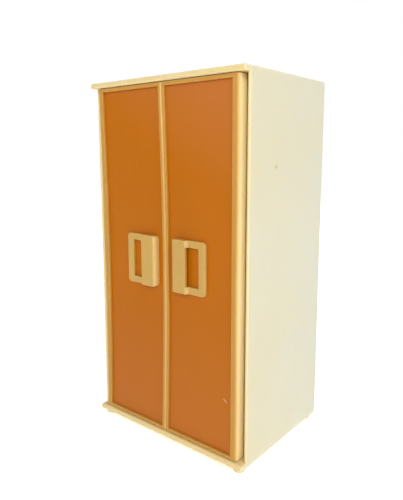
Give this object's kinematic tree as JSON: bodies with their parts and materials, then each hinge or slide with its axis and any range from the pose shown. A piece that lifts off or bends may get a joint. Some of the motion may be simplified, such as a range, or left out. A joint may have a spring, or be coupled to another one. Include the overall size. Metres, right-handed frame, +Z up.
{
  "type": "doll wardrobe",
  "caption": "Upright miniature wardrobe with a pale moulded cabinet, framed hinged doors with orange panels and finger-pull handles, shelves, a hanging rail and hangers.",
  "frame": {"origin": "on the floor under the middle of the cabinet, between the four feet", "axes": "+Z up, +X to the right seen from the front, the doors face -Y"},
  "size_m": [0.1492, 0.1108, 0.28],
  "materials": {
    "cabinet_plastic": "pale cream moulded plastic, semi-gloss",
    "back_board": "pale cream sheet, matte",
    "fittings_plastic": "pale cream moulded plastic, semi-gloss",
    "rail": "off-white plastic rod",
    "door_plastic": "aged beige moulded plastic, semi-gloss",
    "panel_plastic": "orange sheet plastic, semi-gloss",
    "handle_plastic": "aged beige moulded plastic, semi-gloss",
    "hanger_plastic": "off-white moulded plastic"
  },
  "bodies": {
    "cabinet": {"cabinet_shell": "cabinet_plastic", "back_panel": "back_board", "partition": "fittings_plastic", "left_shelf_1": "fittings_plastic", "left_shelf_2": "fittings_plastic", "left_shelf_3": "fittings_plastic", "hat_shelf": "fittings_plastic", "hanging_rail": "rail", "front_left_foot": "cabinet_plastic", "front_right_foot": "cabinet_plastic", "rear_left_foot": "cabinet_plastic", "rear_right_foot": "cabinet_plastic"},
    "left_door": {"left_door_frame": "door_plastic", "left_door_panel": "panel_plastic", "left_handle": "handle_plastic"},
    "right_door": {"right_door_frame": "door_plastic", "right_door_panel": "panel_plastic", "right_handle": "handle_plastic"},
    "hanger_1": {"hanger_1": "hanger_plastic"},
    "hanger_2": {"hanger_2": "hanger_plastic"},
    "hanger_3": {"hanger_3": "hanger_plastic"}
  },
  "joints": [
    {"name": "left_door_hinge", "type": "hinge", "parent": "cabinet", "child": "left_door", "pos_m": [-0.0661, -0.049, 0.00865], "axis": [0, 0, -1], "range_deg": [0, 115]},
    {"name": "right_door_hinge", "type": "hinge", "parent": "cabinet", "child": "right_door", "pos_m": [0.0661, -0.049, 0.00865], "axis": [0, 0, 1], "range_deg": [0, 115]},
    {"name": "hanger_1_swing", "type": "hinge", "parent": "cabinet", "child": "hanger_1", "pos_m": [0.0216, 0.005, 0.225], "axis": [1, 0, 0], "range_deg": [-20, 20]},
    {"name": "hanger_2_swing", "type": "hinge", "parent": "cabinet", "child": "hanger_2", "pos_m": [0.0366, 0.005, 0.225], "axis": [1, 0, 0], "range_deg": [-20, 20]},
    {"name": "hanger_3_swing", "type": "hinge", "parent": "cabinet", "child": "hanger_3", "pos_m": [0.0516, 0.005, 0.225], "axis": [1, 0, 0], "range_deg": [-20, 20]}
  ]
}
